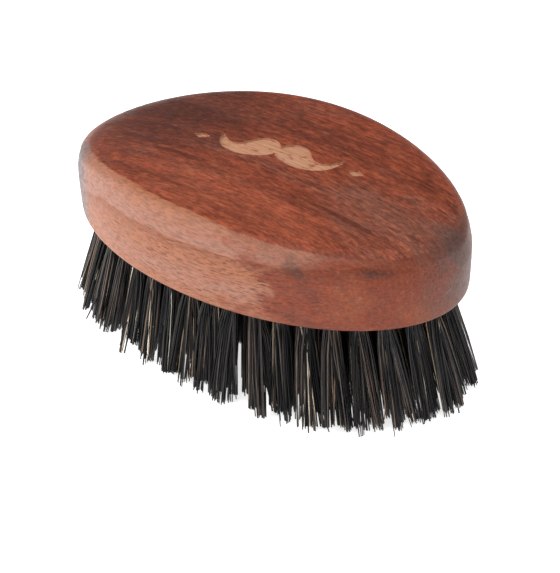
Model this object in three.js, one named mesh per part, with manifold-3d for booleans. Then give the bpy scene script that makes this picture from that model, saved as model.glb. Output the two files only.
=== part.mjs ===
// Palm-size beard brush: an oval one-piece wooden back, crowned along its length, drilled from
// below with blind holes, and a tuft of stiff bristle in each hole.
// Millimetres, +Z up, +X along the back. The trimmed bristle tips lie on z = 0.

import * as THREE from 'three';
import { mergeVertices } from 'three/addons/utils/BufferGeometryUtils.js';
import Module from 'manifold-3d';

// ---- Wooden back ----
const backLength = 85;
const backWidth = 51;
const backHeight = 18; // bristle face to the top, at the middle
const crownDrop = 5; // how much lower the top is at the two ends
const footInset = 0.2; // side's lower edge, inside the belly outline
const footRadius = 1.8;
const bellyHeight = 11; // where the side is widest, above the bristle face
const shoulderInset = 0.3;
const topEdgeRadius = 3;
// How many times further in the roundings reach at the two ends than at the sides.
const footEndReach = 1.3;
const topEndReach = 2.6;
const backSegments = 56;
const profileSteps = 3; // in each curve of the section
const topRings = 4; // from the top's rounded edge to the middle

// ---- Ornament cut into the top ----
const ornamentDepth = 0.4;
const moustacheLength = 26;
const moustacheHeight = 8.4;
const lozengeGap = 1.4; // moustache tips to the lozenge at each end
const lozengeLength = 3.6;
const lozengeWidth = 2.2;
// The moustache's right half as four curves, from its middle dip out to the curled tip and back:
// each row is a curve's start, two handles and end, as shares of half the length and height.
const moustacheCurves = [
  [[0, 0.35], [0.12, 1], [0.38, 1], [0.52, 0.2]],
  [[0.52, 0.2], [0.66, -0.35], [0.86, -0.1], [1, 0.8]],
  [[1, 0.8], [0.98, -0.75], [0.62, -1], [0.38, -0.9]],
  [[0.38, -0.9], [0.18, -0.8], [0.06, -0.6], [0, -0.25]],
];
const curveSteps = 5;
const ornamentCentre = new THREE.Vector2(0.5, 2.5);
const ornamentTurn = THREE.MathUtils.degToRad(10);

// ---- Holes and tufts ----
const bristleLength = 21.5; // free length, bristle face to tips
const holeRadius = 1.6;
const holeDepth = 8;
const mouthOvercut = 0.6; // the drill starts this far below the bristle face
const drillPointAngle = THREE.MathUtils.degToRad(118);
const tuftInHoleGap = 0.3;
const outerRowInset = 5.8; // belly outline to the outer row's centres
const middleRowOffset = 3.5; // long axis to the innermost row's centres
const rowCounts = [38, 30, 24, 16]; // tufts in each oval row, outside to inside
const tuftTipRadius = 2.5;
const tuftGap = 0.3; // between neighbouring tufts that are separate
const tuftOverlap = 0.2; // between neighbouring inner tufts, which run into each other
const splayAtEnds = 6.4; // how far the outer row's tips stand out past its roots
const splayAtSides = 3.8;
const tuftSides = 8;
const ovalDivisions = 800; // fineness of the even spacing along each row

const halfLength = backLength / 2;
const halfWidth = backWidth / 2;
const rowSpacing = (halfWidth - outerRowInset - middleRowOffset) / (rowCounts.length - 1);
const outerRow = new THREE.Vector2(halfLength - outerRowInset, halfWidth - outerRowInset);

const wood = new THREE.MeshStandardMaterial({ color: 0x8a4433, roughness: 0.5, metalness: 0 });
const bristle = new THREE.MeshStandardMaterial({ color: 0x1c1815, roughness: 0.55, metalness: 0 });

const wasm = await Module();
wasm.setup();

// A closed solid for joining and cutting, from any closed three.js geometry.
function toSolid(geometry) {
  const bare = geometry.clone();
  bare.deleteAttribute('normal');
  bare.deleteAttribute('uv');
  const merged = mergeVertices(bare, 1e-4);
  const corners = [];
  for (let i = 0; i < merged.index.count; i += 3) {
    const [a, b, c] = [0, 1, 2].map((k) => merged.index.getX(i + k));
    if (a !== b && b !== c && c !== a) corners.push(a, b, c);
  }
  const vertProperties = new Float32Array(merged.attributes.position.array);
  const triVerts = new Uint32Array(corners);
  return new wasm.Manifold(new wasm.Mesh({ numProp: 3, vertProperties, triVerts }));
}

function toGeometry(solid) {
  const mesh = solid.getMesh();
  const geometry = new THREE.BufferGeometry();
  geometry.setAttribute('position', new THREE.BufferAttribute(mesh.vertProperties, 3));
  geometry.setIndex(new THREE.BufferAttribute(mesh.triVerts, 1));
  return geometry;
}

function named(name, geometry, material) {
  const mesh = new THREE.Mesh(geometry, material);
  mesh.name = name;
  return mesh;
}

// A profile of (radius, height) points turned about the Z axis.
function turned(profile, segments) {
  return new THREE.LatheGeometry(profile, segments).rotateX(Math.PI / 2);
}

// ---- The back ----

// Section of the back across its width, from the middle of the bristle face, round the side,
// to the middle of the top.
function backProfile() {
  const foot = halfWidth - footInset;
  const shoulder = halfWidth - shoulderInset;
  const topFlat = shoulder - topEdgeRadius;
  const outline = new THREE.Path();
  outline.moveTo(0, 0);
  outline.lineTo(foot - footRadius, 0);
  outline.quadraticCurveTo(foot, 0, foot, footRadius);
  outline.splineThru([
    new THREE.Vector2(halfWidth, bellyHeight),
    new THREE.Vector2(shoulder, backHeight - topEdgeRadius),
  ]);
  outline.absarc(topFlat, backHeight - topEdgeRadius, topEdgeRadius, 0, Math.PI / 2, false);
  for (let ring = topRings - 1; ring >= 0; ring -= 1) {
    outline.lineTo((topFlat * ring) / topRings, backHeight);
  }
  return outline.getPoints(profileSteps);
}

// Stretches the round turning into the oval, each ring inset from the belly outline as it was
// from the belly circle and further at the ends, and lowers the top towards the ends.
function ovaliseAndCrown(geometry) {
  const position = geometry.attributes.position;
  const deepestInset = shoulderInset + topEdgeRadius;
  for (let i = 0; i < position.count; i += 1) {
    const radius = Math.hypot(position.getX(i), position.getY(i));
    const inset = Math.min(halfWidth - radius, deepestInset);
    const reach = position.getZ(i) < bellyHeight ? footEndReach : topEndReach;
    const x = (position.getX(i) * (halfLength - reach * inset)) / (halfWidth - inset);
    const lowering = 1 - (crownDrop / backHeight) * (x / halfLength) ** 2;
    position.setX(i, x);
    position.setZ(i, position.getZ(i) * lowering);
  }
  return geometry;
}

function plainBack(lift) {
  const geometry = ovaliseAndCrown(turned(backProfile(), backSegments));
  return toSolid(geometry.translate(0, 0, lift));
}

// ---- Tufts and their holes ----

// Every tuft's root on the bristle face, row by row, evenly spaced along each oval.
function tuftRows() {
  return rowCounts.map((count, row) => {
    const inset = row * rowSpacing;
    const oval = new THREE.EllipseCurve(0, 0, outerRow.x - inset, outerRow.y - inset);
    oval.arcLengthDivisions = ovalDivisions;
    return oval.getSpacedPoints(count).slice(0, count);
  });
}

// How far a tuft's tip stands out from its root.
function splayAt(root) {
  return new THREE.Vector2(
    (splayAtEnds * root.x) / outerRow.x,
    (splayAtSides * root.y) / outerRow.y,
  );
}

// Leans an upright shape whose base is on z = 0 so that it passes through the tuft's root on
// the bristle face.
function leanOntoRoot(geometry, root) {
  const splay = splayAt(root);
  const slopeX = -splay.x / bristleLength;
  const slopeY = -splay.y / bristleLength;
  const lean = new THREE.Matrix4().makeShear(0, 0, 0, 0, slopeX, slopeY);
  geometry.applyMatrix4(lean);
  return geometry.translate(root.x + splay.x, root.y + splay.y, 0);
}

function hole(root) {
  const point = holeRadius / Math.tan(drillPointAngle / 2);
  const mouth = bristleLength - mouthOvercut;
  const floor = bristleLength + holeDepth;
  const profile = [
    new THREE.Vector2(0, mouth),
    new THREE.Vector2(holeRadius, mouth),
    new THREE.Vector2(holeRadius, floor),
    new THREE.Vector2(0, floor + point),
  ];
  return toSolid(leanOntoRoot(turned(profile, tuftSides), root));
}

function tuft(root, tipRadius) {
  const neck = holeRadius - tuftInHoleGap;
  const profile = [
    new THREE.Vector2(0, 0),
    new THREE.Vector2(tipRadius, 0),
    new THREE.Vector2(neck, bristleLength),
    new THREE.Vector2(neck, bristleLength + holeDepth - tuftInHoleGap),
    new THREE.Vector2(0, bristleLength + holeDepth - tuftInHoleGap),
  ];
  return leanOntoRoot(turned(profile, tuftSides), root);
}

function tipOf(root) {
  return root.clone().add(splayAt(root));
}

// The distance from each tuft's tip to the next one's in its row.
function tipPitches(row) {
  const tips = row.map((root) => tipOf(root));
  return tips.map((tip, i) => tip.distanceTo(tips[(i + 1) % tips.length]));
}

// ---- Ornament ----

function moustacheShape() {
  const size = new THREE.Vector2(moustacheLength / 2, moustacheHeight / 2);
  const right = moustacheCurves.flatMap((curve) => {
    const knots = curve.map(([x, y]) => new THREE.Vector2(x, y).multiply(size));
    return new THREE.CubicBezierCurve(...knots).getPoints(curveSteps).slice(1);
  });
  const left = right.slice(0, -1).map((point) => new THREE.Vector2(-point.x, point.y));
  const dip = new THREE.Vector2(...moustacheCurves[0][0]).multiply(size);
  return new THREE.Shape([dip, ...right, ...left.reverse()]);
}

function lozengeShape(side) {
  const centre = side * ((moustacheLength + lozengeLength) / 2 + lozengeGap);
  return new THREE.Shape([
    new THREE.Vector2(centre - lozengeLength / 2, 0),
    new THREE.Vector2(centre, -lozengeWidth / 2),
    new THREE.Vector2(centre + lozengeLength / 2, 0),
    new THREE.Vector2(centre, lozengeWidth / 2),
  ]);
}

// What the ornament takes away: its outline, down to an even depth below the crowned top.
function ornamentCut() {
  const shapes = [moustacheShape(), lozengeShape(-1), lozengeShape(1)];
  const settings = { depth: backHeight, bevelEnabled: false };
  const floor = plainBack(bristleLength - ornamentDepth);
  const cuts = shapes.map((shape) => {
    const prism = new THREE.ExtrudeGeometry(shape, settings);
    prism.rotateZ(ornamentTurn);
    prism.translate(ornamentCentre.x, ornamentCentre.y, bristleLength + backHeight / 2);
    return toSolid(prism).subtract(floor);
  });
  return cuts.reduce((all, cut) => all.add(cut));
}

// ---- Assembly ----

function woodenBack(rows) {
  const holes = rows.flat().map((root) => hole(root));
  const solid = plainBack(bristleLength)
    .subtract(holes.reduce((all, one) => all.add(one)))
    .subtract(ornamentCut());
  return named('wooden_back', toGeometry(solid), wood);
}

const rows = tuftRows();
const [outerRoots, ...innerRows] = rows;
const facetReach = Math.cos(Math.PI / tuftSides);
const rowSpacingAtTips = rowSpacing * (1 + splayAtSides / outerRow.y);
const widestInnerSpacing = Math.max(
  rowSpacing * (1 + splayAtEnds / outerRow.x),
  ...innerRows.flatMap((row) => tipPitches(row)),
);
const innerTipRadius = (widestInnerSpacing / 2 + tuftOverlap) / facetReach;
const outerTipRadius = Math.min(
  tuftTipRadius,
  (Math.min(...tipPitches(outerRoots)) - tuftGap) / 2,
  rowSpacingAtTips - innerTipRadius - tuftGap,
);

const group = new THREE.Group();
group.add(woodenBack(rows));
outerRoots.forEach((root, i) => {
  const name = `outer_tuft_${String(i + 1).padStart(2, '0')}`;
  group.add(named(name, tuft(root, outerTipRadius), bristle));
});
const innerTufts = innerRows.flat().map((root) => toSolid(tuft(root, innerTipRadius)));
const innerField = innerTufts.reduce((all, one) => all.add(one));
group.add(named('inner_tufts', toGeometry(innerField), bristle));

export default group;
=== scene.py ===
# Palm-size beard brush: stained wooden back, rows of bristle tufts, wire staples in the holes.

import math
import random

import bmesh
import bpy
from mathutils import Matrix, Vector
from mathutils.geometry import interpolate_bezier


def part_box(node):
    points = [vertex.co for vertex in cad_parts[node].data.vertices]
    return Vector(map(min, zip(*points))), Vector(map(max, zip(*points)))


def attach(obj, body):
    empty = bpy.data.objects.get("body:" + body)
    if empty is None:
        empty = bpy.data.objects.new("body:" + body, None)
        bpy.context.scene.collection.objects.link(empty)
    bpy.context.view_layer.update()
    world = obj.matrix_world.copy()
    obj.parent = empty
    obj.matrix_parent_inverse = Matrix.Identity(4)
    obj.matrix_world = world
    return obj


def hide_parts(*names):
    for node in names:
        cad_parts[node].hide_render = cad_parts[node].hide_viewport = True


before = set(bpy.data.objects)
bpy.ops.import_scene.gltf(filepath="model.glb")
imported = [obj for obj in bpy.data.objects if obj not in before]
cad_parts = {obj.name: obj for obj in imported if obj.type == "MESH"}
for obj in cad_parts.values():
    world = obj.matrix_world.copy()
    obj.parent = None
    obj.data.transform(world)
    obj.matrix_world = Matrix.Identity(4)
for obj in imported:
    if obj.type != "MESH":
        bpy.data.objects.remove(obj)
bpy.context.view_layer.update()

millimetre = 0.001
scene = bpy.context.scene


def placeObject(name, data):
    thing = bpy.data.objects.new(name, data)
    scene.collection.objects.link(thing)
    return thing


cameraSettings = {
    "aim": (0.0044, -0.0027, 0.0136),
    "azimuth": 39.5,      # degrees from looking along +Y
    "elevation": 33.4,
    "roll": -1.8,
    "distance": 0.3825,
    "lens": 126.8,
    "sensorWidth": 36,
}


def directionFrom(azimuth, elevation):
    turn = math.radians(azimuth)
    rise = math.radians(elevation)
    flat = math.cos(rise)
    return Vector((math.sin(turn) * flat, -math.cos(turn) * flat, math.sin(rise)))


def makeCamera():
    s = cameraSettings
    data = bpy.data.cameras.new("camera")
    data.lens = s["lens"]
    data.sensor_width = s["sensorWidth"]
    camera = placeObject("camera", data)
    towards = directionFrom(s["azimuth"], s["elevation"])
    camera.location = Vector(s["aim"]) + towards * s["distance"]
    aimed = towards.to_track_quat("Z", "Y").to_matrix()
    roll = Matrix.Rotation(math.radians(s["roll"]), 3, "Z")
    camera.rotation_euler = (aimed @ roll).to_euler()
    scene.camera = camera


makeCamera()
print("camera placed")


def clamped(value):
    return min(1.0, max(0.0, value))


def linkMesh(bm, name):
    mesh = bpy.data.meshes.new(name)
    bm.to_mesh(mesh)
    bm.free()
    return placeObject(name, mesh)


def newVerts(geometry):
    return [part for part in geometry if isinstance(part, bmesh.types.BMVert)]


def newMaterial(name):
    material = bpy.data.materials.new(name)
    material.use_nodes = True
    tree = material.node_tree
    shader = tree.nodes["Principled BSDF"]
    return material, tree, shader


def addNode(tree, kind, **settings):
    node = tree.nodes.new(kind)
    for key, value in settings.items():
        setattr(node, key, value)
    return node


def feed(tree, socket, value):
    # the value is another node's output, a colour or a number
    if isinstance(value, bpy.types.NodeSocket):
        tree.links.new(value, socket)
    elif isinstance(value, tuple):
        socket.default_value = (*value, 1)
    else:
        socket.default_value = value


def objectPattern(tree, scale, centre=(0, 0, 0), turn=(0, 0, 0)):
    # Object coordinates seen from centre, turned, then scaled
    coordinates = addNode(tree, "ShaderNodeTexCoord")
    place = addNode(tree, "ShaderNodeMapping", vector_type="TEXTURE")
    place.inputs["Location"].default_value = centre
    place.inputs["Rotation"].default_value = turn
    place.inputs["Scale"].default_value = [1 / size for size in scale]
    tree.links.new(coordinates.outputs["Object"], place.inputs["Vector"])
    return place.outputs["Vector"]


def noiseFactor(tree, grain, detail=3.0, roughness=0.55):
    # grain is the number of noise cells in a metre along each axis
    noise = addNode(tree, "ShaderNodeTexNoise")
    noise.inputs["Scale"].default_value = 1
    noise.inputs["Detail"].default_value = detail
    noise.inputs["Roughness"].default_value = roughness
    tree.links.new(objectPattern(tree, grain), noise.inputs["Vector"])
    return noise.outputs["Fac"]


def between(tree, factor, low, high, toLow=0.0, toHigh=1.0):
    # smooth step of a factor from one range to another
    node = addNode(tree, "ShaderNodeMapRange", interpolation_type="SMOOTHSTEP")
    node.inputs["From Min"].default_value = low
    node.inputs["From Max"].default_value = high
    node.inputs["To Min"].default_value = toLow
    node.inputs["To Max"].default_value = toHigh
    tree.links.new(factor, node.inputs["Value"])
    return node.outputs["Result"]


def mathNode(tree, operation, *values):
    node = addNode(tree, "ShaderNodeMath", operation=operation)
    for socket, value in zip(node.inputs, values):
        feed(tree, socket, value)
    return node.outputs["Value"]


def mixColour(tree, factor, base, top, blend="MIX"):
    # sockets 0, 6 and 7 of a colour mix are its factor and its two colours
    node = addNode(tree, "ShaderNodeMix", data_type="RGBA", blend_type=blend)
    for index, value in zip((0, 6, 7), (factor, base, top)):
        feed(tree, node.inputs[index], value)
    return node.outputs[2]


def shadeBy(tree, colour, factor):
    # darkens a colour where the factor is under 1 and lightens it over 1
    shade = addNode(tree, "ShaderNodeCombineColor")
    for socket in shade.inputs[:3]:
        tree.links.new(factor, socket)
    return mixColour(tree, 1.0, colour, shade.outputs["Color"], blend="MULTIPLY")


def attributeFactor(tree, name):
    return addNode(tree, "ShaderNodeAttribute", attribute_name=name).outputs["Fac"]


def bumpFrom(tree, height, distance, strength, under=None):
    bump = addNode(tree, "ShaderNodeBump")
    bump.inputs["Strength"].default_value = strength
    bump.inputs["Distance"].default_value = distance
    tree.links.new(height, bump.inputs["Height"])
    if under is not None:
        tree.links.new(under, bump.inputs["Normal"])
    return bump.outputs["Normal"]


backLow, backHigh = (Vector(corner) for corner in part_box("wooden_back"))
halfLength = (backHigh.x - backLow.x) / 2
halfWidth = (backHigh.y - backLow.y) / 2
faceHeight = backLow.z            # the bristle face
backHeight = backHigh.z - backLow.z


woodSettings = {
    "deep": (0.078, 0.0145, 0.0065),
    "body": (0.225, 0.045, 0.019),
    "warm": (0.330, 0.090, 0.032),       # orange-brown flecks and patches
    "grey": (0.135, 0.052, 0.036),
    "fadedAndPaintedLight": (0.290, 0.137, 0.097),      # where the stain has rubbed thin; also painted light on the near side, painted sheen on the top and a painted highlight on the foot's edge
    # warmer growth rings on the pale side, which also holds painted light
    "fadedAndPaintedLightWarm": (0.292, 0.111, 0.058),
    "ringLine": (0.165, 0.055, 0.032),
    "shadow": (0.048, 0.0085, 0.0035),
    # painted light on the near edge of the top
    "paintedNearLight": (0.345, 0.084, 0.040),
    "paintedLeftEndSheen": (0.108, 0.090, 0.095),    # painted sheen at the left end
    "paintedRightEndSheen": (0.092, 0.052, 0.044),    # painted sheen at the right end
    "smudge": (0.050, 0.024, 0.018),
    "bare": (0.46, 0.235, 0.140),        # under the stain, in the cut ornament
    "bareDark": (0.25, 0.085, 0.042),
    "roughness": (0.36, 0.54),
    "specular": 0.17,
    "bareRoughness": 0.75,
    "bareSpecular": 0.25,
    # noise cells in a metre along the back, across it and up
    "streakGrain": (16, 230, 120),
    "warmGrain": (190, 760, 400),
    "broadGrain": (30, 95, 60),
    "cloudGrain": (75, 170, 150),
    "mottleGrain": (190, 1100, 1000),
    "fibreGrain": (560, 2300, 2300),
    "rayGrain": (560, 330, 3900),
    "bareFibreGrain": (200, 1900, 1900),
    "barePatchGrain": (420, 900, 900),
    # bump distance and strength
    "fibreBump": (0.00006, 0.5),
    "rayBump": (0.00005, 0.3),
    "mottleBump": (0.00012, 0.3),
    "bareBump": (0.00008, 0.6),
    "ringSpacing": 0.0096,
    "ringCentre": (-0.019, 0, 0.0256),
    "ringStretch": 0.48,                 # how slowly the rings close at their left end
    "ringTilt": -0.045,
    "ringDrift": 0.0048,
    "ringWander": (32, 60, 85),
    "borderBreak": 0.6,                  # how ragged the pale side's edge is
    # broad patches: centre, reach
    # the pale near side: stain rubbed thin, with painted light
    "fadedAndPaintedLightPatch": ((-0.0145, -0.028, 0.031), (0.046, 0.040, 0.034)),
    "shadedPatch": ((-0.038, 0.008, 0.038), (0.042, 0.024, 0.03)),
    # painted light on the near edge of the top
    "paintedNearLightPatch": ((0.008, -0.016, 0.038), (0.036, 0.010, 0.03)),
    # painted sheen on the top towards the right end
    "paintedTopSheenPatch": ((0.031, -0.003, 0.037), (0.018, 0.014, 0.03)),
    # painted sheen at the left end
    "paintedLeftEndSheenPatch": ((-0.0395, -0.016, 0.028), (0.014, 0.013, 0.020)),
    # painted sheen at the right end
    "paintedRightEndSheenPatch": ((0.0435, 0.006, 0.031), (0.010, 0.020, 0.018)),
    "porousPatch": ((0.004, -0.024, 0.0285), (0.032, 0.030, 0.0075)),
    # a pale band along the near top edge: stain rubbed thin, with painted sheen
    "rubbedAndSheenBand": ((0.018, -0.024, 0.0375), (0.019, 0.009, 0.0046)),
    "rubbedAndSheenBandTurn": 0.36,
    # centre, turn about Y, reach, strength
    "smudges": [
        ((0.0229, -0.0215, 0.0340), 0.9, (0.0042, 0.006, 0.0022), 0.58),
        ((0.0256, -0.0203, 0.0298), 1.2, (0.0040, 0.006, 0.0016), 0.55),
        ((0.0355, -0.0137, 0.0337), 0.1, (0.0050, 0.005, 0.0014), 0.85),
        ((0.0425, 0.0040, 0.0340), 0.0, (0.0050, 0.0080, 0.0075), 0.45),
        ((0.0240, -0.0215, 0.0235), 0.3, (0.0080, 0.006, 0.0016), 0.45),
    ],
    # dark lengthwise lines on the top: y, left, right, half width
    "streakLines": [
        (-0.0077, 0.008, 0.039, 0.00075),
        (-0.0060, -0.033, -0.012, 0.00110),
        (-0.0082, -0.022, -0.006, 0.00090),
        (0.0116, 0.021, 0.033, 0.00050),
    ],
    "streakHeight": 0.038,
    # fine pale scratches near the right end: start, end
    "scratches": [
        ((0.0425, 0.0004, 0.0364), (0.0424, -0.0015, 0.0357)),
        ((0.0425, -0.0008, 0.0276), (0.0422, -0.0030, 0.0267)),
        ((0.0361, -0.0135, 0.0343), (0.0363, -0.0133, 0.0319)),
        ((0.0335, -0.0139, 0.0364), (0.0348, -0.0125, 0.0362)),
    ],
    "scratchHalfWidth": 0.0001,
}


def growthRings(tree):
    # nested loops round a lengthwise axis at mid side, closing towards the left end
    s = woodSettings
    split = addNode(tree, "ShaderNodeSeparateXYZ")
    fromAxis = objectPattern(tree, (1, 1, 1), centre=s["ringCentre"])
    tree.links.new(fromAxis, split.inputs["Vector"])
    x, z = split.outputs["X"], split.outputs["Z"]
    beyond = mathNode(tree, "MULTIPLY", mathNode(tree, "MINIMUM", x, 0.0), s["ringStretch"])
    height = mathNode(tree, "ADD", z, mathNode(tree, "MULTIPLY", x, s["ringTilt"]))
    squares = [mathNode(tree, "POWER", mathNode(tree, "ABSOLUTE", part), 2.0)
               for part in (beyond, height)]
    radius = mathNode(tree, "SQRT", mathNode(tree, "ADD", *squares))
    wander = noiseFactor(tree, s["ringWander"])
    drift = mathNode(tree, "MULTIPLY", wander, s["ringDrift"])
    phase = mathNode(tree, "DIVIDE", mathNode(tree, "ADD", radius, drift), s["ringSpacing"])
    return mathNode(tree, "FRACT", phase)


def spotFactor(tree, centre, reach, ragged, turn=(0, 0, 0), unevenness=1.0):
    # 1 near the centre of an ellipsoid and 0 outside it, broken up by a noise
    spot = addNode(tree, "ShaderNodeTexGradient", gradient_type="SPHERICAL")
    scale = [1 / r for r in reach]
    tree.links.new(objectPattern(tree, scale, centre=centre, turn=turn), spot.inputs["Vector"])
    uneven = between(tree, ragged, 0.36, 0.62, 1 - unevenness, 1 + unevenness)
    return mathNode(tree, "MULTIPLY", spot.outputs["Fac"], uneven)


def layered(tree, colour, *layers):
    # each layer: its tint, a factor, the factor's range, the strength at either end of it
    for tint, factor, span, strength in layers:
        amount = between(tree, factor, *span, *strength)
        colour = mixColour(tree, amount, colour, woodSettings[tint])
    return colour


def topColour(tree, fine, mottle, clouds):
    s = woodSettings
    streaks = noiseFactor(tree, s["streakGrain"], detail=4, roughness=0.62)
    warmth = noiseFactor(tree, s["warmGrain"], detail=4, roughness=0.6)
    broad = noiseFactor(tree, s["broadGrain"], detail=2)
    shaded = spotFactor(tree, *s["shadedPatch"], streaks, unevenness=0.5)
    # painted light on the near edge of the top
    paintedNearLight = spotFactor(tree, *s["paintedNearLightPatch"], clouds, unevenness=0.4)
    # painted sheen on the top towards the right end
    paintedTopSheen = spotFactor(tree, *s["paintedTopSheenPatch"], clouds, unevenness=0.4)
    colour = layered(
        tree, s["deep"],
        ("body", streaks, (0.36, 0.58), (0.35, 1)),
        ("grey", clouds, (0.50, 0.68), (0, 0.36)),
        ("grey", broad, (0.50, 0.64), (0, 0.42)),
        ("warm", warmth, (0.50, 0.70), (0, 0.46)),
        ("deep", mottle, (0.38, 0.56), (0.62, 0)),
        ("shadow", shaded, (0.0, 0.8), (0, 0.85)),
        ("paintedNearLight", paintedNearLight, (0.0, 0.7), (0, 0.38)),
        ("fadedAndPaintedLight", paintedTopSheen, (0.0, 0.8), (0, 0.22)))
    colour = shadeBy(tree, colour, between(tree, fine, 0.32, 0.64, 0.84, 1.14))
    for y, left, right, width in s["streakLines"]:
        centre = ((left + right) / 2, y, s["streakHeight"])
        reach = ((right - left) / 2, width, 1)
        line = spotFactor(tree, centre, reach, clouds, unevenness=0.5)
        colour = layered(tree, colour, ("deep", line, (0.02, 0.45), (0, 0.75)))
    return colour


def sideColour(tree, colour, mottle, clouds):
    # paler where hands have rubbed the stain, with the growth rings showing; the pale side also
    # holds painted light, with painted sheen along its top edge and at both ends
    s = woodSettings
    rings = growthRings(tree)
    late = mathNode(tree, "MULTIPLY", between(tree, rings, 0.66, 0.96),
                    between(tree, rings, 0.96, 1.0, 1, 0))
    # the pale side: rubbed stain with painted light, and a band of painted sheen along its top
    # edge
    cloud = spotFactor(tree, *s["fadedAndPaintedLightPatch"], clouds, unevenness=0.35)
    band = spotFactor(tree, *s["rubbedAndSheenBand"], clouds, turn=(0, 0, s["rubbedAndSheenBandTurn"]),
                      unevenness=0.3)
    fadeAndPaintedLight = mathNode(tree, "MAXIMUM", between(tree, cloud, 0.21, 0.42),
                    between(tree, band, 0.05, 0.5, 0, 0.8))
    pale = layered(
        tree, s["fadedAndPaintedLight"],
        ("fadedAndPaintedLightWarm", rings, (0.10, 0.75), (0, 1)),
        ("warm", mottle, (0.50, 0.68), (0, 0.35)))
    pale = mixColour(tree, mathNode(tree, "MULTIPLY", late, 0.42), pale, s["ringLine"])
    # painted sheen at the left end
    leftEndSheen = spotFactor(tree, *s["paintedLeftEndSheenPatch"], mottle, unevenness=0.2)
    pale = layered(tree, pale, ("paintedLeftEndSheen", leftEndSheen, (0.0, 0.6), (0, 0.92)))
    stained = layered(
        tree, s["body"],
        ("warm", clouds, (0.42, 0.64), (0, 0.50)),
        ("grey", mottle, (0.42, 0.58), (0.40, 0.10)))
    stained = mixColour(tree, 0.16, stained, s["deep"])
    stained = mixColour(tree, mathNode(tree, "MULTIPLY", late, 0.3), stained, s["deep"])
    side = mixColour(tree, fadeAndPaintedLight, stained, pale)
    broken = mathNode(tree, "MULTIPLY", mathNode(tree, "SUBTRACT", mottle, 0.5),
                      s["borderBreak"])
    ragged = mathNode(tree, "ADD", attributeFactor(tree, "sideShare"), broken)
    colour = mixColour(tree, between(tree, ragged, 0.40, 0.62), colour, side)
    # painted sheen at the right end
    far = spotFactor(tree, *s["paintedRightEndSheenPatch"], clouds, unevenness=0.35)
    return layered(tree, colour, ("paintedRightEndSheen", far, (0.0, 0.7), (0, 0.85)))


def woodColour(tree):
    s = woodSettings
    clouds = noiseFactor(tree, s["cloudGrain"], detail=4, roughness=0.6)
    mottle = noiseFactor(tree, s["mottleGrain"], detail=5, roughness=0.7)
    fine = noiseFactor(tree, s["fibreGrain"], detail=4, roughness=0.7)
    rays = noiseFactor(tree, s["rayGrain"], detail=1.5, roughness=0.4)
    colour = sideColour(tree, topColour(tree, fine, mottle, clouds), mottle, clouds)

    # handling marks and scratches
    for centre, turn, reach, strength in s["smudges"]:
        spot = spotFactor(tree, centre, reach, clouds, turn=(0, turn, 0), unevenness=0.45)
        colour = layered(tree, colour, ("smudge", spot, (0.0, 0.9), (0, strength)))
    for start, end in s["scratches"]:
        middle = (Vector(start) + Vector(end)) / 2
        along = Vector(end) - Vector(start)
        reach = (along.length / 2, s["scratchHalfWidth"], s["scratchHalfWidth"])
        turn = along.to_track_quat("X", "Z").to_euler()
        line = spotFactor(tree, middle, reach, mottle, turn=turn, unevenness=0.5)
        colour = layered(tree, colour, ("fadedAndPaintedLight", line, (0.02, 0.3), (0, 0.75)))

    # short dark pores, pale flecks and fibre, then a painted highlight along the foot's edge
    porous = spotFactor(tree, *s["porousPatch"], clouds, unevenness=0.3)
    pores = mathNode(tree, "MULTIPLY", between(tree, rays, 0.60, 0.66),
                     between(tree, porous, 0.0, 0.4, 0.14, 0.62))
    colour = mixColour(tree, pores, colour, s["deep"])
    colour = layered(tree, colour, ("fadedAndPaintedLight", fine, (0.60, 0.74), (0, 0.34)))
    colour = shadeBy(tree, colour, between(tree, fine, 0.32, 0.64, 0.75, 1.18))
    # painted highlight along the foot's edge
    footHighlight = mathNode(tree, "MULTIPLY", attributeFactor(tree, "footEdgeHighlight"),
                   between(tree, mottle, 0.40, 0.62, 0.0, 0.35))
    colour = mixColour(tree, footHighlight, colour, s["fadedAndPaintedLight"])
    return colour, mottle, fine, rays


def makeWood():
    s = woodSettings
    material, tree, shader = newMaterial("stainedBeech")
    colour, mottle, fine, rays = woodColour(tree)
    tree.links.new(colour, shader.inputs["Base Color"])
    rough = between(tree, mottle, 0.3, 0.7, *s["roughness"])
    tree.links.new(rough, shader.inputs["Roughness"])
    normal = bumpFrom(tree, fine, *s["fibreBump"])
    normal = bumpFrom(tree, rays, *s["rayBump"], under=normal)
    normal = bumpFrom(tree, mottle, *s["mottleBump"], under=normal)
    tree.links.new(normal, shader.inputs["Normal"])
    shader.inputs["Specular IOR Level"].default_value = s["specular"]
    return material


def makeBareWood():
    s = woodSettings
    material, tree, shader = newMaterial("bareWood")
    fibre = noiseFactor(tree, s["bareFibreGrain"])
    patches = noiseFactor(tree, s["barePatchGrain"], detail=4, roughness=0.65)
    colour = layered(
        tree, s["bare"],
        ("bareDark", fibre, (0.35, 0.7), (0, 0.45)),
        ("body", patches, (0.52, 0.70), (0, 0.8)))
    tree.links.new(colour, shader.inputs["Base Color"])
    tree.links.new(bumpFrom(tree, fibre, *s["bareBump"]), shader.inputs["Normal"])
    shader.inputs["Roughness"].default_value = s["bareRoughness"]
    shader.inputs["Specular IOR Level"].default_value = s["bareSpecular"]
    return material


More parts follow.
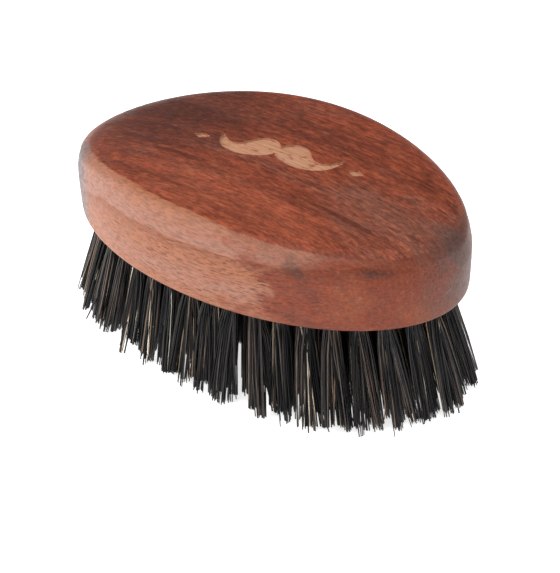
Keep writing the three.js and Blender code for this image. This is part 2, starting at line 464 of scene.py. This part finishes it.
backShape = {
    "around": 224,
    "footInset": 0.2 * millimetre,
    "footRadius": 1.8 * millimetre,
    "bellyHeight": 11 * millimetre,
    "shoulderInset": 0.3 * millimetre,
    "topEdgeRadius": 3 * millimetre,
    "footEndReach": 1.3,              # how much further in the roundings reach at the ends
    "topEndReach": 2.6,
    "crownDrop": 5 * millimetre,
    "footSteps": 7,
    "sideSteps": 9,
    "topEdgeSteps": 9,
    "topRings": 16,
    "sharpAngle": 40,                 # degrees
    "borderRoll": 0.82,               # where the pale side's edge lies on the rounding, mid side
    "borderRollEnd": 0.52,            # and towards both ends
    "borderSlope": 2.5,
    "borderEaseRight": (0.0, 0.4),    # starts and takes this share of the half length
    "borderEaseLeft": (0.4, 0.45),
    "faceSkin": 0.3 * millimetre,
    "footHighlightInset": 0.3,                  # inset of the painted highlight on the foot's edge, as a share of the foot's radius
}


def crownHeight(x):
    # height of the top above the bristle face
    return backHeight - backShape["crownDrop"] * (x / halfLength) ** 2


def backRings():
    # (inset from the belly outline, height) of each ring from the foot to the top's edge
    s = backShape
    rings = []
    for step in range(s["footSteps"] + 1):
        angle = math.pi / 2 * step / s["footSteps"]
        inset = s["footInset"] + s["footRadius"] * (1 - math.sin(angle))
        rings.append((inset, s["footRadius"] * (1 - math.cos(angle))))
    low = s["footRadius"]
    high = backHeight - s["topEdgeRadius"]
    for step in range(1, s["sideSteps"]):
        height = low + (high - low) * step / s["sideSteps"]
        if height < s["bellyHeight"]:
            share = (s["bellyHeight"] - height) / (s["bellyHeight"] - low)
            rings.append((s["footInset"] * share ** 2, height))
        else:
            share = (height - s["bellyHeight"]) / (high - s["bellyHeight"])
            rings.append((s["shoulderInset"] * share ** 2, height))
    for step in range(s["topEdgeSteps"] + 1):
        angle = math.pi / 2 * step / s["topEdgeSteps"]
        inset = s["shoulderInset"] + s["topEdgeRadius"] * (1 - math.cos(angle))
        rings.append((inset, high + s["topEdgeRadius"] * math.sin(angle)))
    return rings


def ringReach(inset, height):
    # half length and half width of the ring at an inset from the belly outline
    low = height < backShape["bellyHeight"]
    reach = backShape["footEndReach"] if low else backShape["topEndReach"]
    return halfLength - reach * inset, halfWidth - inset


def growRing(bm, edges, stretchX, stretchY, rise):
    # pulls a new ring out of an open one and returns its edges
    grown = bmesh.ops.extrude_edge_only(bm, edges=edges)["geom"]
    points = newVerts(grown)
    bmesh.ops.scale(bm, vec=(stretchX, stretchY, 1), verts=points)
    bmesh.ops.translate(bm, vec=(0, 0, rise), verts=points)
    return [part for part in grown if isinstance(part, bmesh.types.BMEdge)]


def backBlank():
    s = backShape
    rings = backRings()
    bm = bmesh.new()
    inset, height = rings[0]
    bmesh.ops.create_circle(bm, cap_ends=True, segments=s["around"], radius=1)
    bmesh.ops.scale(bm, vec=(*ringReach(inset, height), 1), verts=bm.verts)
    edges = list(bm.edges)
    for nextInset, nextHeight in rings[1:]:
        stretch = [new / old for new, old in zip(ringReach(nextInset, nextHeight),
                                                 ringReach(inset, height))]
        edges = growRing(bm, edges, *stretch, nextHeight - height)
        inset, height = nextInset, nextHeight
    for ring in range(s["topRings"], 1, -1):
        shrink = (ring - 1) / ring
        edges = growRing(bm, edges, shrink, shrink, 0)
    bmesh.ops.contextual_create(bm, geom=edges)
    for vert in bm.verts:
        vert.co.z *= crownHeight(vert.co.x) / backHeight
        vert.co.z += faceHeight
    bmesh.ops.recalc_face_normals(bm, faces=bm.faces)
    return linkMesh(bm, "woodenBack")


rowSettings = {
    "counts": (38, 30, 24, 16),
    "outerInset": 5.8 * millimetre,
    "middleOffset": 3.5 * millimetre,
    "splayAtEnds": 6.4 * millimetre,
    "splayAtSides": 3.8 * millimetre,
    "holeRadius": 1.6 * millimetre,
    "holeDepth": 8 * millimetre,
    "holeSides": 20,
    "drillPoint": 118,                # degrees
    "drillStart": 0.5 * millimetre,   # below the bristle face
}
outerHalfLength = halfLength - rowSettings["outerInset"]
outerHalfWidth = halfWidth - rowSettings["outerInset"]


def evenlyRound(halfX, halfY, count, fine=800):
    # points at even distances along an oval, the first one on +X
    dense = [Vector((halfX * math.cos(math.tau * k / fine),
                     halfY * math.sin(math.tau * k / fine))) for k in range(fine + 1)]
    travelled = [0.0]
    for before, after in zip(dense, dense[1:]):
        travelled.append(travelled[-1] + (after - before).length)
    points = []
    k = 0
    for i in range(count):
        target = travelled[-1] * i / count
        while travelled[k + 1] < target:
            k += 1
        share = (target - travelled[k]) / (travelled[k + 1] - travelled[k])
        points.append(dense[k].lerp(dense[k + 1], share))
    return points


def tuftRows():
    s = rowSettings
    spacing = (outerHalfWidth - s["middleOffset"]) / (len(s["counts"]) - 1)
    return [evenlyRound(outerHalfLength - row * spacing, outerHalfWidth - row * spacing, count)
            for row, count in enumerate(s["counts"])]


def splayAt(root):
    s = rowSettings
    return Vector((s["splayAtEnds"] * root.x / outerHalfLength,
                   s["splayAtSides"] * root.y / outerHalfWidth))


def tuftAxis(root):
    # from the root on the bristle face down to the middle of the tip
    splay = splayAt(root)
    return Vector((splay.x, splay.y, -faceHeight))


def holePlace(root):
    # the way into the hole, and a place at its mouth with Z along that way
    inward = -tuftAxis(root).normalized()
    turn = Vector((0, 0, 1)).rotation_difference(inward).to_matrix().to_4x4()
    return inward, Matrix.Translation((root.x, root.y, faceHeight)) @ turn


def holeCutter(roots):
    s = rowSettings
    bm = bmesh.new()
    start = s["drillStart"]
    point = s["holeRadius"] / math.tan(math.radians(s["drillPoint"] / 2))
    for root in roots:
        inward, place = holePlace(root)
        below = place @ Matrix.Translation((0, 0, -start))
        ring = bmesh.ops.create_circle(bm, cap_ends=True, segments=s["holeSides"],
                                       radius=s["holeRadius"], matrix=below)["verts"]
        face = ring[0].link_faces[0]
        side = bmesh.ops.extrude_face_region(bm, geom=[face])["geom"]
        bmesh.ops.translate(bm, vec=inward * (s["holeDepth"] + start), verts=newVerts(side))
        topFace = [part for part in side if isinstance(part, bmesh.types.BMFace)]
        tip = bmesh.ops.poke(bm, faces=topFace)["verts"]
        bmesh.ops.translate(bm, vec=inward * point, verts=tip)
    bmesh.ops.recalc_face_normals(bm, faces=bm.faces)
    return linkMesh(bm, "holeCutter")


ornamentSettings = {
    "depth": 0.4 * millimetre,
    "overcut": 2 * millimetre,        # how far the cutter stands above the top
    "length": 36 * millimetre,
    "moustacheLength": 26 * millimetre,
    "moustacheHeight": 8.4 * millimetre,
    "lozengeLength": 3.6 * millimetre,
    "lozengeWidth": 2.2 * millimetre,
    "centre": (0.5 * millimetre, 2.5 * millimetre, 0),
    "turn": 10,                       # degrees
    "sliceStep": 1.5 * millimetre,
    "curveSteps": 12,
    # knots and handles of the right half, in half lengths and half heights
    "moustacheCurve": [
        ((0, 0.35), (0.12, 1), (0.38, 1), (0.52, 0.2)),
        ((0.52, 0.2), (0.66, -0.35), (0.86, -0.1), (1, 0.8)),
        ((1, 0.8), (0.98, -0.75), (0.62, -1), (0.38, -0.9)),
        ((0.38, -0.9), (0.18, -0.8), (0.06, -0.6), (0, -0.25)),
    ],
}


def moustacheOutline():
    s = ornamentSettings
    half = s["moustacheLength"] / 2
    rise = s["moustacheHeight"] / 2
    right = []
    for arc in s["moustacheCurve"]:
        knots = [Vector((x * half, y * rise, 0)) for x, y in arc]
        right += interpolate_bezier(*knots, s["curveSteps"])[:-1]
    right.append(knots[-1])
    left = [Vector((-p.x, p.y, 0)) for p in reversed(right[1:-1])]
    return right + left


def lozengeOutline(side):
    s = ornamentSettings
    centre = side * (s["length"] - s["lozengeLength"]) / 2
    half = s["lozengeLength"] / 2
    return [Vector((centre + half, 0, 0)), Vector((centre, s["lozengeWidth"] / 2, 0)),
            Vector((centre - half, 0, 0)), Vector((centre, -s["lozengeWidth"] / 2, 0))]


def ornamentCutter():
    # flat outlines, sliced so that they can follow the crown, then given their height
    s = ornamentSettings
    bm = bmesh.new()
    for outline in (moustacheOutline(), lozengeOutline(-1), lozengeOutline(1)):
        bm.faces.new([bm.verts.new(p) for p in outline])
    turn = Matrix.Rotation(math.radians(s["turn"]), 3, "Z")
    bmesh.ops.rotate(bm, matrix=turn, verts=bm.verts)
    bmesh.ops.translate(bm, vec=s["centre"], verts=bm.verts)
    slices = int(s["length"] / s["sliceStep"])
    for k in range(-slices // 2, slices // 2 + 1):
        everything = list(bm.verts) + list(bm.edges) + list(bm.faces)
        bmesh.ops.bisect_plane(bm, geom=everything, plane_co=(k * s["sliceStep"], 0, 0),
                               plane_no=(1, 0, 0))
    grown = bmesh.ops.extrude_face_region(bm, geom=list(bm.faces), use_keep_orig=True)["geom"]
    bmesh.ops.translate(bm, vec=(0, 0, 1), verts=newVerts(grown))
    for vert in bm.verts:
        lift = s["overcut"] if vert.co.z > 0.5 else -s["depth"]
        vert.co.z = faceHeight + crownHeight(vert.co.x) + lift
    bmesh.ops.recalc_face_normals(bm, faces=bm.faces)
    return linkMesh(bm, "ornamentCutter")


def cutAway(piece, cutter):
    # subtracts the cutter for good and removes it
    modifier = piece.modifiers.new("cut", "BOOLEAN")
    modifier.operation = "DIFFERENCE"
    modifier.solver = "EXACT"
    modifier.material_mode = "TRANSFER"
    modifier.object = cutter
    graph = bpy.context.evaluated_depsgraph_get()
    cut = bpy.data.meshes.new_from_object(piece.evaluated_get(graph))
    piece.modifiers.clear()
    piece.data = cut
    bpy.data.objects.remove(cutter)


def borderAt(along):
    # how far up the rounding the pale side's edge lies, at a share of the half length
    s = backShape
    fromRight, overRight = s["borderEaseRight"]
    fromLeft, overLeft = s["borderEaseLeft"]
    right = clamped((along - fromRight) / overRight)
    left = clamped((-along - fromLeft) / overLeft)
    return s["borderRoll"] + (s["borderRollEnd"] - s["borderRoll"]) * max(right, left)


def paintSideShareAndFootHighlight(piece):
    # sideShare: 1 on the side, 0 on the top and the bristle face; the foot's mask: 1 on the
    # foot's edge, for a painted highlight
    s = backShape
    mesh = piece.data
    side = mesh.attributes.new("sideShare", "FLOAT", "POINT")
    footHighlight = mesh.attributes.new("footEdgeHighlight", "FLOAT", "POINT")
    shoulder = backHeight - s["topEdgeRadius"]
    highlightInset = s["footInset"] + s["footHighlightInset"] * s["footRadius"]
    for index, vert in enumerate(mesh.vertices):
        x, y, z = vert.co
        height = (z - faceHeight) * backHeight / crownHeight(x)
        roll = math.asin(clamped((height - shoulder) / s["topEdgeRadius"])) / (math.pi / 2)
        share = 0.5 + s["borderSlope"] * (borderAt(x / halfLength) - roll)
        side.data[index].value = 0.0 if height < s["faceSkin"] else clamped(share)
        inset = halfWidth * (1 - math.hypot(x / halfLength, y / halfWidth))
        fromFoot = math.hypot(height, inset - highlightInset)
        footHighlight.data[index].value = max(0.0, 1 - fromFoot / s["footRadius"])


def makeBack(roots):
    piece = backBlank()
    piece.data.materials.append(makeWood())
    bare = makeBareWood()
    for cutter in (holeCutter(roots), ornamentCutter()):
        cutter.data.materials.append(bare)
        cutAway(piece, cutter)
    paintSideShareAndFootHighlight(piece)
    piece.data.shade_smooth()
    piece.data.set_sharp_from_angle(angle=math.radians(backShape["sharpAngle"]))
    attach(piece, "root")
    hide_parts("wooden_back")


rows = tuftRows()
allRoots = [root for row in rows for root in row]
makeBack(allRoots)
print("wooden back cut")


bristleSettings = {
    "outerSeed": 100,
    "innerSeed": 500,
    "perTuft": 125,
    "perInnerTuft": 130,
    "radius": 0.155 * millimetre,
    "thickness": (0.75, 1.2),         # from strand to strand
    "tipShare": 0.75,                 # thickness left at the tip
    "rootSpread": 1.28 * millimetre,
    "rootShare": 0.8,                 # of the hole's depth
    "tipSpread": 2.5 * millimetre,
    "innerTipSpread": 3.9 * millimetre,
    "alongRow": 1.75,                 # how much wider the outer tufts fan along their row
    "opening": 0.62,                  # how early the strands part, lower is earlier
    "innerOpening": 0.45,
    "clumps": (7, 10),
    "clumpSpread": 0.95,              # of the tip's spread
    "clumpPull": 0.74,
    "tuftTrim": 0.9 * millimetre,     # how much shorter a whole tuft can be
    "clumpTrim": (0.3 * millimetre, 3.4 * millimetre),    # how much shorter clumps are
    "trimBias": 1.8,                  # over 1 leaves more clumps long
    "fangShare": 0.18,                # narrow clumps left at full length
    "fangWeight": 0.3,
    "strandTrim": 0.25 * millimetre,
    "strayShare": 0.012,
    "strayReach": 2.8 * millimetre,
    "bow": 0.35 * millimetre,
    "waywardStray": 0.5,              # cream strands stray and bow more
    "waywardBow": 3,
    "pointsAt": (0.0, 0.30, 0.66, 1.0),       # along the free length
    "creamShare": 0.013,
    "creamAtEnd": 0.018,
    "creamEndFrom": 0.35,
    "creamTones": (0.91, 1.0),
    "brownShare": 0.14,
    "brownTones": (0.66, 0.87),
    "clumpToneBias": 1.6,             # over 1 makes more clumps dark
    "clumpToneMost": 0.68,
    "strandToneSpread": 0.12,
    "strandToneMost": 0.72,
    "toneGrain": (900, 900, 160),
    "roughness": (0.28, 0.44),
    "specular": 0.26,
    # hairTone, colour: black and grey, then brown, then cream
    "toneColours": [
        (0.0, (0.0005, 0.0004, 0.0005)),
        (0.32, (0.0022, 0.0019, 0.0020)),
        (0.50, (0.019, 0.0182, 0.0195)),
        (0.68, (0.066, 0.054, 0.048)),
        (0.84, (0.115, 0.072, 0.050)),
        (0.92, (0.45, 0.34, 0.22)),
        (1.0, (0.80, 0.74, 0.62)),
    ],
    # tips pushed aside by use: root, reach, push
    "combed": [
        ((-0.0345, -0.0070), 0.004, (-0.0008, -0.0006)),
        ((0.0270, -0.0140), 0.009, (0.0004, -0.0010)),
        ((0.0071, -0.0193), 0.002, (-0.0018, 0.0)),
        ((0.0119, -0.0186), 0.002, (0.0018, 0.0)),
        ((0.0025, -0.0143), 0.002, (-0.0014, 0.0)),
        ((0.0074, -0.0139), 0.002, (0.0014, 0.0)),
    ],
}


def makeBristle():
    s = bristleSettings
    material, tree, shader = newMaterial("bristle")
    ramp = addNode(tree, "ShaderNodeValToRGB")
    while len(ramp.color_ramp.elements) < len(s["toneColours"]):
        ramp.color_ramp.elements.new(0.5)
    for element, (place, colour) in zip(ramp.color_ramp.elements, s["toneColours"]):
        element.position = place
        element.color = (*colour, 1)
    tree.links.new(attributeFactor(tree, "hairTone"), ramp.inputs["Fac"])
    along = noiseFactor(tree, s["toneGrain"], detail=2)
    colour = shadeBy(tree, ramp.outputs["Color"], between(tree, along, 0.3, 0.75, 0.75, 1.5))
    tree.links.new(colour, shader.inputs["Base Color"])
    rough = between(tree, along, 0.3, 0.7, *s["roughness"])
    tree.links.new(rough, shader.inputs["Roughness"])
    shader.inputs["Specular IOR Level"].default_value = s["specular"]
    return material


def onDisc(dice, radius):
    angle = dice.uniform(0, math.tau)
    reach = radius * math.sqrt(dice.random())
    return Vector((reach * math.cos(angle), reach * math.sin(angle)))


def toneFor(dice, root, clumpTone):
    s = bristleSettings
    nearEnd = max(0.0, root.x / halfLength - s["creamEndFrom"]) / (1 - s["creamEndFrom"])
    cream = s["creamShare"] + s["creamAtEnd"] * nearEnd
    draw = dice.random()
    if draw < cream:
        return dice.uniform(*s["creamTones"])
    if draw < cream + s["brownShare"]:
        return dice.uniform(*s["brownTones"])
    tone = dice.gauss(clumpTone, s["strandToneSpread"])
    return min(s["strandToneMost"], max(0.0, tone))


def combedPush(root):
    push = Vector((0, 0))
    for centre, reach, shift in bristleSettings["combed"]:
        away = (root - Vector(centre)).length / reach
        push += Vector(shift) * math.exp(-away * away)
    return push


def tuftClumps(dice, spread):
    # (tip, trim, tone) of each clump in a tuft, and the clumps' weights
    s = bristleSettings
    clumps, weights = [], []
    least, most = s["clumpTrim"]
    least += dice.random() * s["tuftTrim"]
    for _ in range(dice.randint(*s["clumps"])):
        trim = least + dice.random() ** s["trimBias"] * (most - least)
        if dice.random() < s["fangShare"]:
            trim = 0.0
        tip = onDisc(dice, spread)
        tone = dice.random() ** s["clumpToneBias"] * s["clumpToneMost"]
        clumps.append((tip, trim, tone))
        weights.append(1.0 if trim > 0 else s["fangWeight"])
    return clumps, weights


def strandPoints(dice, root, fan, clumpTip, clumpTrim, wayward):
    # five points from inside the hole to the tip
    s = bristleSettings
    tipSpread, opening, alongRow = fan
    axis = tuftAxis(root)
    start = onDisc(dice, s["rootSpread"])
    free = start * (tipSpread / s["rootSpread"])
    tip = free.lerp(clumpTip, s["clumpPull"])
    heading = splayAt(root).orthogonal().normalized()
    tip += heading * tip.dot(heading) * (alongRow - 1)
    tip += combedPush(root)
    stray = Vector((0, 0))
    if dice.random() < (s["waywardStray"] if wayward else s["strayShare"]):
        stray = onDisc(dice, s["strayReach"])
    trim = max(0.0, clumpTrim + dice.uniform(-1, 1) * s["strandTrim"])
    bow = onDisc(dice, s["bow"]) * (s["waywardBow"] if wayward else 1)
    inHole = Vector((root.x + start.x, root.y + start.y, faceHeight))
    points = [inHole - axis.normalized() * (rowSettings["holeDepth"] * s["rootShare"])]
    for share in s["pointsAt"]:
        spread = start.lerp(tip, share ** opening) + stray * share ** 2
        bend = math.sin(math.pi * share)
        z = faceHeight + (trim - faceHeight) * share
        drop = 1 - z / faceHeight
        points.append(Vector((root.x + axis.x * drop + spread.x + bow.x * bend,
                              root.y + axis.y * drop + spread.y + bow.y * bend, z)))
    return points


def strandMesh(name, strands, thicknesses):
    # each strand is a closed tube of four sides, thinner at its tip
    s = bristleSettings
    data = bpy.data.curves.new(name, "CURVE")
    data.dimensions = "3D"
    data.bevel_depth = s["radius"]
    data.bevel_resolution = 0
    data.use_fill_caps = True
    for points, thick in zip(strands, thicknesses):
        last = len(points) - 1
        spline = data.splines.new("POLY")
        spline.points.add(last)
        for k, (slot, place) in enumerate(zip(spline.points, points)):
            slot.co = (*place, 1)
            slot.radius = thick * (1 - (1 - s["tipShare"]) * (k / last) ** 2)
    curve = placeObject(name, data)
    graph = bpy.context.evaluated_depsgraph_get()
    mesh = bpy.data.meshes.new_from_object(curve.evaluated_get(graph))
    bpy.data.objects.remove(curve)
    return mesh


def tuftPiece(name, roots, seed, material, inner=False):
    s = bristleSettings
    dice = random.Random(seed)
    fan = (s["tipSpread"], s["opening"], s["alongRow"])
    if inner:
        fan = (s["innerTipSpread"], s["innerOpening"], 1)
    strands, tones = [], []
    for root in roots:
        clumps, weights = tuftClumps(dice, fan[0] * s["clumpSpread"])
        for _ in range(s["perInnerTuft"] if inner else s["perTuft"]):
            clumpTip, clumpTrim, clumpTone = dice.choices(clumps, weights)[0]
            tone = toneFor(dice, root, clumpTone)
            wayward = tone >= s["creamTones"][0]
            strands.append(strandPoints(dice, root, fan, clumpTip, clumpTrim, wayward))
            tones.append(tone)
    mesh = strandMesh(name, strands, [dice.uniform(*s["thickness"]) for _ in strands])
    perStrand = len(mesh.vertices) // len(strands)
    hairTone = mesh.attributes.new("hairTone", "FLOAT", "POINT")
    hairTone.data.foreach_set("value", [tone for tone in tones for _ in range(perStrand)])
    mesh.shade_smooth()
    mesh.materials.clear()
    mesh.materials.append(material)
    piece = placeObject(name, mesh)
    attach(piece, "root")
    return piece


bristle = makeBristle()
for index, root in enumerate(rows[0]):
    tuft = tuftPiece(f"outerTuft{index + 1:02d}", [root],
                     bristleSettings["outerSeed"] + index, bristle)
    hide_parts(f"outer_tuft_{index + 1:02d}")
for number, name in enumerate(("secondRowTufts", "thirdRowTufts", "fourthRowTufts")):
    tufts = tuftPiece(name, rows[number + 1], bristleSettings["innerSeed"] + number,
                      bristle, inner=True)
    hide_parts("inner_tufts")
print("tufts drawn in")


stapleSettings = {
    "length": 3.4 * millimetre,
    "height": 1.5 * millimetre,
    "thickness": 0.32 * millimetre,
    "edgeBevel": 0.06 * millimetre,
    "depthShare": 0.86,               # of the hole's depth
    "dark": (0.42, 0.42, 0.43),
    "light": (0.62, 0.61, 0.60),
    "drawnGrain": (500, 500, 4000),
    "roughness": (0.28, 0.45),
}


def makeSteel():
    s = stapleSettings
    material, tree, shader = newMaterial("stapleWire")
    drawn = noiseFactor(tree, s["drawnGrain"], detail=2)
    tree.links.new(mixColour(tree, drawn, s["dark"], s["light"]), shader.inputs["Base Color"])
    rough = between(tree, drawn, 0.3, 0.7, *s["roughness"])
    tree.links.new(rough, shader.inputs["Roughness"])
    shader.inputs["Metallic"].default_value = 1
    return material


def makeStaples(roots):
    s = stapleSettings
    bm = bmesh.new()
    depth = rowSettings["holeDepth"] * s["depthShare"]
    size = Matrix.Diagonal((s["length"], s["thickness"], s["height"], 1))
    for root in roots:
        inward, place = holePlace(root)
        heading = Matrix.Rotation(math.atan2(root.y, root.x) + math.pi / 2, 4, "Z")
        seat = Matrix.Translation(inward * depth) @ place
        bmesh.ops.create_cube(bm, size=1, matrix=seat @ heading @ size)
    bmesh.ops.bevel(bm, geom=list(bm.edges), offset=s["edgeBevel"], segments=1,
                    affect="EDGES", profile=0.5, material=-1)
    piece = linkMesh(bm, "tuftStaples")
    piece.data.materials.append(makeSteel())
    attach(piece, "root")


makeStaples(allRoots)
print("staples set")


stageSettings = {
    "floorSize": 4.0,
    "floorColour": (0.90, 0.90, 0.90),
    "floorPaler": 1.02,               # between the paper's fibres
    "floorGrain": (900, 900, 900),
    "floorGlow": 0.72,
    "floorRoughness": 0.85,
    "floorSpecular": 0.2,
    "worldColour": (1.0, 1.0, 1.0),
    "worldStrength": 0.36,
    "lamps": [
        # name, azimuth, elevation, distance, size, power
        ("key", -30, 32, 0.7, 0.45, 3.3),
        ("overhead", 60, 75, 0.8, 0.6, 3.6),
        ("leftEdge", -72, 12, 0.7, 0.35, 1.8),
        ("rightEdge", 128, 18, 0.7, 0.35, 1.6),
    ],
}


def makeFloor():
    s = stageSettings
    bm = bmesh.new()
    bmesh.ops.create_grid(bm, x_segments=8, y_segments=8, size=s["floorSize"] / 2)
    floor = linkMesh(bm, "floor")
    material, tree, shader = newMaterial("palePaper")
    tooth = noiseFactor(tree, s["floorGrain"])
    paler = tuple(c * s["floorPaler"] for c in s["floorColour"])
    tree.links.new(mixColour(tree, tooth, s["floorColour"], paler), shader.inputs["Base Color"])
    shader.inputs["Emission Color"].default_value = (1, 1, 1, 1)
    shader.inputs["Emission Strength"].default_value = s["floorGlow"]
    shader.inputs["Roughness"].default_value = s["floorRoughness"]
    shader.inputs["Specular IOR Level"].default_value = s["floorSpecular"]
    floor.data.materials.append(material)


def makeLamps():
    middle = Vector((0, 0, faceHeight))
    for name, azimuth, elevation, distance, size, power in stageSettings["lamps"]:
        data = bpy.data.lights.new(name, "AREA")
        data.size = size
        data.energy = power
        lamp = placeObject(name, data)
        towards = directionFrom(azimuth, elevation)
        lamp.location = middle + towards * distance
        lamp.rotation_euler = towards.to_track_quat("Z", "Y").to_euler()


def makeWorld():
    s = stageSettings
    world = bpy.data.worlds.new("studio")
    world.use_nodes = True
    backdrop = world.node_tree.nodes["Background"]
    backdrop.inputs["Color"].default_value = (*s["worldColour"], 1)
    backdrop.inputs["Strength"].default_value = s["worldStrength"]
    scene.world = world


makeFloor()
makeLamps()
makeWorld()
scene.view_settings.view_transform = "Standard"
print("stage set")
